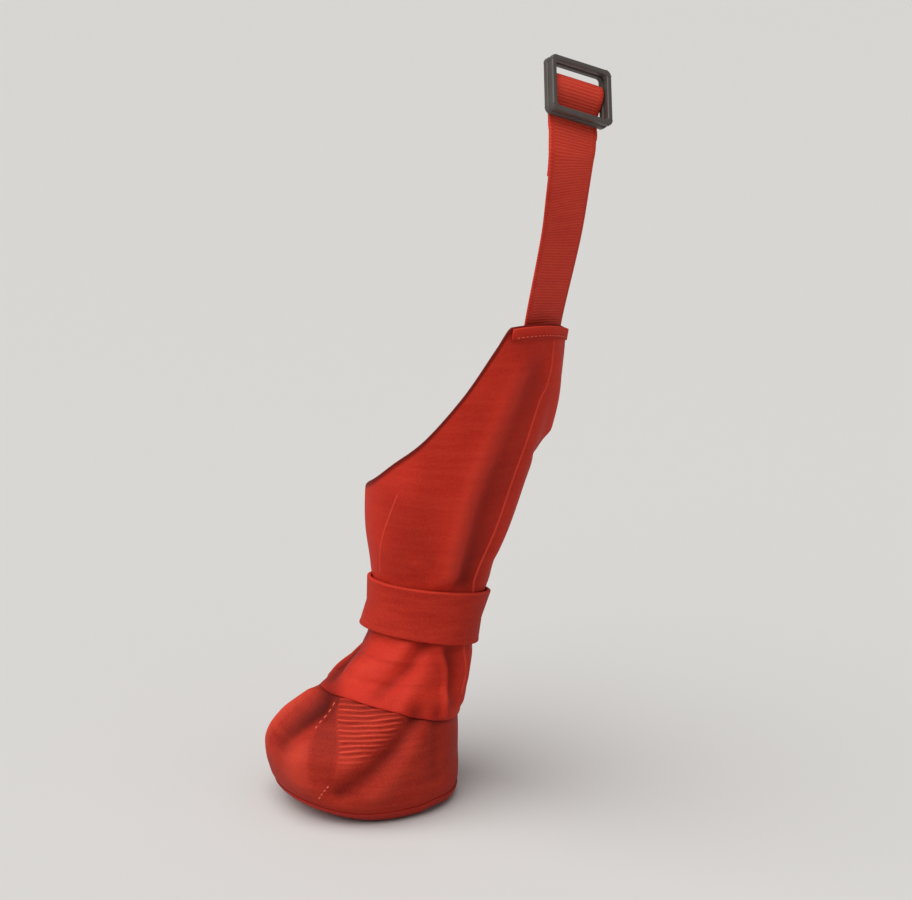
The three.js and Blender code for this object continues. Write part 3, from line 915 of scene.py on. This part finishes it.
# webbing: the tape from inside the tab, up and round the slider's middle bar
webbing = {
    "width": 25,
    "thickness": 1.4,
    "tuck": 14,  # length hidden inside the tab
    "tabMiddle": 115,
    "sagitta": 2.6,  # how far the flat tape lies off the tab's curve
    "rib": 1.15,
    "ribLift": 0.14,
    "square": (0.2, 0.4),
    "section": 20,
    # painted light and shade on the tape: lighter towards the top and on the rib crests, darker in the rib
    # grooves
    "shade": 0.38,
    "ribShade": 0.28,
    "topShade": 0.22,
    "edgeShade": 0.12,
}
webDepth = upper["wall"] - webbing["thickness"] / 2 - webbing["sagitta"]
webFoot = grownPoint(webbing["tabMiddle"], form["tabHeight"] - webbing["tuck"], webDepth)
webNeck = grownPoint(webbing["tabMiddle"], form["tabHeight"], webDepth)

# the webbing's middle line, and the way that its face looks; the slider sits on the last row but one
webLine = table(
    "out back height facing",
    (webFoot[0], webFoot[1], webFoot[2], 111),
    (webNeck[0], webNeck[1], webNeck[2], 111),
    (30, 71.5, 245, 107),
    (32.6, 72.9, 265, 104.5),
    (33, 74.1, 277, 103.2),
    (30.1, 76.2, 286, 102.6),
    (27.7, 77.5, 290, 102.6),
    (21, 81, 301, 102.6),
    (6.3, 88.6, 325, 102.6),
)
sliderSpot = webLine["height"][7]

# threading round the slider's middle bar: up along the webbing, off towards its face,
# and aside, which lays the tail straight behind the webbing
webThread = table(
    "up off aside",
    (-13, 0, 0), (-9.6, 0.1, 0), (-7, 1.1, 0), (-4.4, 2.9, 0), (-1.8, 4.4, 0), (0.8, 5.1, 0),
    (2.8, 4.9, 0), (4.2, 3.9, 0), (4.6, 2.4, 0), (4.1, 1, 0), (2.8, 0.1, 0), (0.6, -0.6, 0),
    (-3.5, -1.4, 0.4), (-8, -1.9, 1), (-13, -2, 1.4), (-26, -2.1, 1.5), (-38, -2.1, 1.5),
)


def webFrame(height):
    # the middle line at a height, and the ways across, up and off the tape
    def spot(at):
        out = readRows(webLine, "height", at, "out")
        return np.stack([out, readRows(webLine, "height", at, "back"), at], -1)

    up = unit(spot(height + 0.5) - spot(height - 0.5))
    facing = np.radians(readRows(webLine, "height", height, "facing"))
    level = np.stack([np.cos(facing), np.sin(facing), 0 * facing], -1)
    across = unit(level - up * (level * up).sum(-1, keepdims=True))
    return spot(height), across, up, np.cross(across, up)


def webPath(spacing):
    # even places along the threaded line, as height on the web and distance off it
    foot = webLine["height"][0]
    rise = webFrame(np.array([sliderSpot]))[2][0, 2]
    run = np.linspace(foot, sliderSpot - 20, 10)
    height = np.concatenate([run, sliderSpot + webThread["up"] * rise])
    off = np.concatenate([0 * run, webThread["off"]])
    aside = np.concatenate([0 * run, webThread["aside"]])
    knots = runLengths(np.hypot(np.diff(height), np.diff(off)))
    rows = {"at": knots, "height": height, "off": off, "aside": aside}
    fine = np.linspace(0, knots[-1], 4000)
    h, o = readRows(rows, "at", fine, "height"), readRows(rows, "at", fine, "off")
    lengths = runLengths(np.hypot(np.diff(h), np.diff(o)))
    even = np.linspace(0, lengths[-1], int(lengths[-1] / spacing) + 1)
    slide = np.interp(even, lengths, readRows(rows, "at", fine, "aside"))
    return even, np.interp(even, lengths, h), np.interp(even, lengths, o), slide


def makeWebbing():
    spacing = webbing["rib"] / 6
    travel, height, off, aside = webPath(spacing)
    print("webbing length", round(float(travel[-1])), "mm")
    turnH, turnO = np.gradient(height, travel), np.gradient(off, travel)
    middle, across, up, out = webFrame(height)
    count = len(travel) - 1

    def place(u, v):
        i = np.rint(u * count).astype(int)
        side, face = bandSection(v, *webbing["square"])
        rib = 0.5 + 0.5 * np.cos(2 * np.pi * travel[i] / webbing["rib"] + np.pi * (np.abs(side) > 0.88))
        selvedge = smoothStep(np.abs(side), 0.84, 0.9)
        half = face * (webbing["thickness"] / 2 - webbing["ribLift"] * (1 - rib) * (1 - 0.5 * selvedge))
        spots = middle[i] - up[i] * (turnO[i] * half)[:, None]
        spots = spots + out[i] * (off[i] + turnH[i] * half)[:, None]
        spots = spots + across[i] * (aside[i] + side * webbing["width"] / 2)[:, None]
        # painted light towards the top, where the tape faces up, painted highlight on the rib crests and
        # painted shade between them, and darker along the selvedges
        top = smoothStep(height[i], webLine["height"][2], sliderSpot)
        shade = webbing["shade"] + webbing["topShade"] * top
        shade = shade + webbing["ribShade"] * rib - webbing["edgeShade"] * selvedge
        return spots, np.stack([side * webbing["width"] / 2, travel[i]], -1), shade

    tape = gridMesh(count, webbing["section"], place, capEnds=True)
    finishPiece("webTape", "webbing", [webCloth], [tape])


# slider: the adjuster, sizes across, up and through it
slider = {
    "width": 31,
    "height": 24.8,
    "thickness": 6.2,
    "bar": 2.4,
    "corner": 4.5,
    "inner": 1.4,
    "edge": 0.7,
    "off": 4.2,  # in front of the webbing's middle line
    "drop": 0.8,
    "middleUp": 2.3,
    "middleThickness": 2.6,
    "middleBack": 0.2,
    "groove": 0.5,
    "backEdge": 0.5,
    "core": 1,  # half thickness of the ring between the outer ones
    "coreEdge": 0.1,
    "barEdge": 0.9,
}
sliderPlastic = hardMaterial("sliderPlastic", {
    "colour": screenColour(84, 76, 71),
    "deep": screenColour(66, 59, 55),
    "grain": 1600.0,
    "detail": 3.0,
    "cloud": 90.0,
    "smooth": 0.34,
    "coarse": 0.48,
    "bump": 0.35,
    "depth": 0.06,
    "gloss": 0.5,
})


def bevelEdges(body, edges, offset, segments):
    bmesh.ops.bevel(body, geom=edges, affect="EDGES", offset=offset, segments=segments, profile=0.5,
                    material=-1)


def cornerEdges(body, x, y):
    # upright edges at the four corners of a rectangle with these half sizes
    found = []
    for edge in body.edges:
        start, end = (vert.co for vert in edge.verts)
        upright = abs(start.z - end.z) > 0.01
        if upright and abs(abs(start.x) - x) < 0.01 and abs(abs(start.y) - y) < 0.01:
            found.append(edge)
    return found


def ringFrame(halfWidth, halfHeight, bar, low, high, edge):
    # a rounded rectangular ring: the rim of a three by three grid, pulled up and bevelled
    body = bmesh.new()
    bmesh.ops.create_grid(body, x_segments=3, y_segments=3, size=0.5)
    columns = [-halfWidth, bar - halfWidth, halfWidth - bar, halfWidth]
    rows = [-halfHeight, bar - halfHeight, halfHeight - bar, halfHeight]
    for vert in body.verts:
        vert.co.x = columns[round((vert.co.x + 0.5) * 3)]
        vert.co.y = rows[round((vert.co.y + 0.5) * 3)]
        vert.co.z = low
    window = [face for face in body.faces if face.calc_center_median().xy.length < 1]
    bmesh.ops.delete(body, geom=window, context="FACES")
    bottom = body.faces[:]
    grown = bmesh.ops.extrude_face_region(body, geom=bottom, use_keep_orig=True)
    raised = [item for item in grown["geom"] if isinstance(item, bmesh.types.BMVert)]
    bmesh.ops.translate(body, verts=raised, vec=(0, 0, high - low))
    bmesh.ops.recalc_face_normals(body, faces=body.faces)
    bevelEdges(body, cornerEdges(body, halfWidth, halfHeight), slider["corner"], 8)
    bevelEdges(body, cornerEdges(body, halfWidth - bar, halfHeight - bar), slider["inner"], 4)
    rims = [e for e in body.edges if len(e.link_faces) == 2 and e.calc_face_angle(0) > 1.2]
    bevelEdges(body, rims, edge, 3)
    return body


def makeSlider():
    # a back and a front ring with a narrower core between them, which leaves a groove all round
    size = slider
    halfWidth, halfHeight, half = size["width"] / 2, size["height"] / 2, size["thickness"] / 2
    groove, core = size["groove"], size["core"]
    innerBar = size["bar"] - 2 * groove
    rings = [
        ringFrame(halfWidth, halfHeight, size["bar"], -half, -groove, size["backEdge"]),
        ringFrame(halfWidth - groove, halfHeight - groove, innerBar, -core, core, size["coreEdge"]),
        ringFrame(halfWidth, halfHeight, size["bar"], groove, half, size["edge"]),
    ]
    bar = bmesh.new()
    bmesh.ops.create_cube(bar, size=1)
    length = size["width"] - 1.2 * size["bar"]
    lay = Matrix.Diagonal((length, size["bar"], size["middleThickness"], 1))
    bmesh.ops.transform(bar, matrix=lay, verts=bar.verts)
    lengthwise = [e for e in bar.edges if abs(e.verts[0].co.x - e.verts[1].co.x) > 1]
    bevelEdges(bar, lengthwise, size["barEdge"], 4)
    back = (size["middleThickness"] - size["thickness"]) / 2 + size["middleBack"]
    bmesh.ops.translate(bar, verts=bar.verts, vec=(0, size["middleUp"], back))
    middle, across, up, out = (array[0] for array in webFrame(np.array([sliderSpot])))
    axes = Matrix((across, up, out)).transposed().to_4x4()
    spot = Matrix.Translation(Vector(middle + out * size["off"] - up * size["drop"]))
    for part in (*rings, bar):
        bmesh.ops.transform(part, matrix=Matrix.Scale(millimetre, 4) @ spot @ axes, verts=part.verts)
        bmesh.ops.recalc_face_normals(part, faces=part.faces)
    finishPiece("slideAdjuster", "slider", [sliderPlastic], [*rings, bar])


# sole: a thin cup with a turned-up rim and a tread of six-sided blocks
sole = {
    "lug": 1.2,
    "skin": 1.8,
    "rimHeight": 5.8,
    "toeSpring": 4,
    "toeSpringStart": -20,
    "heelSpring": 1.2,
    "heelSpringStart": 28,
    "archRise": 0.8,
    "archMiddle": 8.5,
    "archHalf": 8,
    "turns": 220,
}
soleRubber = hardMaterial("soleRubber", {
    "colour": screenColour(170, 39, 27),
    "deep": screenColour(148, 31, 20),
    "grain": 700.0,
    "detail": 4.0,
    "cloud": 60.0,
    "smooth": 0.6,
    "coarse": 0.8,
    "bump": 0.4,
    "depth": 0.12,
    "gloss": 0.2,
})

# from the middle underneath, out round the rim and back to the middle inside
soleSection = table(
    "reach grow height",
    (0, 0, 1.2), (0.25, 0, 1.2), (0.5, 0, 1.2), (0.7, 0, 1.2), (0.85, 0, 1.2), (0.95, 0, 1.2),
    (1, 0.5, 1.3), (1, 1.2, 1.6), (1, 1.7, 2.2), (1, 2.05, 3), (1, 2.25, 3.8), (1, 2.32, 4.6),
    (1, 2.3, 5.1), (1, 2.22, 5.5), (1, 2.12, 5.75), (1, 1.98, 5.8), (1, 1.9, 5.6), (1, 1.9, 4.6),
    (1, 1.9, 3.6), (1, 1.9, 3), (0.95, 0, 3), (0.85, 0, 3), (0.5, 0, 3), (0.25, 0, 3), (0, 0, 3),
)


def soleRise(y):
    toe = np.maximum(sole["toeSpringStart"] - y, 0) / (form["footLength"] / 2 + sole["toeSpringStart"])
    heel = np.maximum(y - sole["heelSpringStart"], 0) / (form["footLength"] / 2 - sole["heelSpringStart"])
    arch = np.maximum(1 - ((y - sole["archMiddle"]) / sole["archHalf"]) ** 2, 0)
    springs = sole["toeSpring"] * np.minimum(toe**2, 1) + sole["heelSpring"] * np.minimum(heel**2, 1)
    return springs + sole["archRise"] * arch**2


def solePoint(turn, reach, grow, height):
    footing = formPoint(turn, sole["rimHeight"])[:, 1]
    rim = levelPoint(turn, height + soleRise(footing), grow)
    rim[:, :2] *= reach[:, None]
    rim[:, 2] = height + soleRise(footing * reach)
    return rim


lugs = {
    "radius": 4.4,
    "pitch": 11,
    "edge": 0.35,
}
lugRows = table("y count", (-29, 3), (-20, 4), (-10, 5), (0, 5), (17, 4), (25, 3))


def makeLugs():
    blocks = []
    height = sole["lug"] + sole["skin"] / 2
    for y, count in zip(lugRows["y"], lugRows["count"]):
        for i in range(int(count)):
            block = bmesh.new()
            bmesh.ops.create_cone(block, cap_ends=True, segments=6, radius1=lugs["radius"],
                                  radius2=lugs["radius"], depth=height)
            bevelEdges(block, block.edges[:], lugs["edge"], 2)
            x = (i - (count - 1) / 2) * lugs["pitch"]
            spot = Vector((x, y, height / 2 + float(soleRise(np.array(y)))))
            lay = Matrix.Scale(millimetre, 4) @ Matrix.Translation(spot)
            bmesh.ops.transform(block, matrix=lay, verts=block.verts)
            blocks.append(block)
    return blocks


def makeSole():
    last = len(soleSection["reach"]) - 1

    def place(u, v):
        row = np.rint(v * last).astype(int)
        turn = 360 * u - 90
        spots = solePoint(turn, soleSection["reach"][row], soleSection["grow"][row],
                          soleSection["height"][row])
        return spots, np.stack([turn * 0.6, soleSection["height"][row]], -1), 0.5

    cup = gridMesh(sole["turns"], last, place)
    finishPiece("treadSole", "outsole", [soleRubber], [cup, *makeLugs()])


footbed = {
    "thickness": 2.4,
    "clear": 0.3,
}
footbedSection = table(
    "reach lift",
    (0, 0), (0.5, 0), (0.85, 0), (0.99, 0), (1, 0.15), (1, 0.6), (0.985, 0.85), (0.96, 0.97),
    (0.85, 1), (0.5, 1), (0, 1),
)


def makeFootbed():
    last = len(footbedSection["reach"]) - 1
    bottom = sole["lug"] + sole["skin"] + footbed["clear"]

    def place(u, v):
        row = np.rint(v * last).astype(int)
        turn = 360 * u - 90
        height = bottom + footbedSection["lift"][row] * footbed["thickness"]
        spots = solePoint(turn, footbedSection["reach"][row], -footbed["clear"], height)
        return spots, spots[:, :2], 0.5

    pad = gridMesh(200, last, place)
    felt = clothMaterial("footbedFelt", {
        **redCloth,
        "colour": screenColour(58, 56, 56),
        "deep": screenColour(44, 42, 43),
        "light": screenColour(84, 82, 82),
        "trough": screenColour(30, 29, 30),
        "rough": 0.88,
    })
    finishPiece("footbed", "insole", [felt], [pad])


for make in (makeUpper, makeShaft, makeStrap, makeTabHem, makeWebbing, makeSlider, makeSole, makeFootbed):
    make()
print("pieces made")

# floor, lights and camera
studio = {
    "target": (0, 0.025, 0.110),
    "distance": 1.1,
    "azimuth": 62,
    "elevation": 19,
    "aim": (0.004, 0.036, 0.150),
    "lens": 101,
    "paper": (201, 199, 196),
    "paperRough": 0.75,
    "sky": 0.9,
    "skyStrength": 0.3,
}
suns = {
    "keySun": {"azimuth": 4, "elevation": 61, "strength": 3.15, "spreadAngle": 75},
    "sideSun": {"azimuth": 120, "elevation": 40, "strength": 0.25, "spreadAngle": 60},
}


def viewDirection(azimuth, elevation):
    a, e = np.radians(azimuth), np.radians(elevation)
    return Vector((np.sin(a) * np.cos(e), -np.cos(a) * np.cos(e), np.sin(e)))


def makeFloor():
    ground = bmesh.new()
    bmesh.ops.create_grid(ground, x_segments=8, y_segments=8, size=6)
    mesh = bpy.data.meshes.new("floor")
    ground.to_mesh(mesh)
    ground.free()
    material, graph, shader = startMaterial("floorPaper")
    wire(graph, shader, {"Base Color": screenColour(*studio["paper"]), "Roughness": studio["paperRough"]})
    mesh.materials.append(material)
    addObject("floor", mesh)


def addSun(name, azimuth, elevation, strength, spreadAngle):
    sun = bpy.data.lights.new(name, "SUN")
    sun.energy = strength
    sun.angle = np.radians(spreadAngle)
    lamp = addObject(name, sun)
    direction = viewDirection(azimuth, elevation)
    lamp.location = direction * 2
    lamp.rotation_euler = direction.to_track_quat("Z", "Y").to_euler()


makeFloor()
for name, sun in suns.items():
    addSun(name, **sun)

world = bpy.data.worlds.new("studio")
world.use_nodes = True
sky = world.node_tree.nodes["Background"]
sky.inputs["Color"].default_value = (studio["sky"], studio["sky"], studio["sky"], 1)
sky.inputs["Strength"].default_value = studio["skyStrength"]
bpy.context.scene.world = world
bpy.context.scene.view_settings.view_transform = "Standard"

lens = bpy.data.cameras.new("camera")
lens.lens = studio["lens"]
camera = addObject("camera", lens)
away = viewDirection(studio["azimuth"], studio["elevation"])
camera.location = Vector(studio["target"]) + away * studio["distance"]
look = Vector(studio["aim"]) - camera.location
camera.rotation_euler = look.to_track_quat("-Z", "Y").to_euler()
bpy.context.scene.camera = camera

print("boot ready")
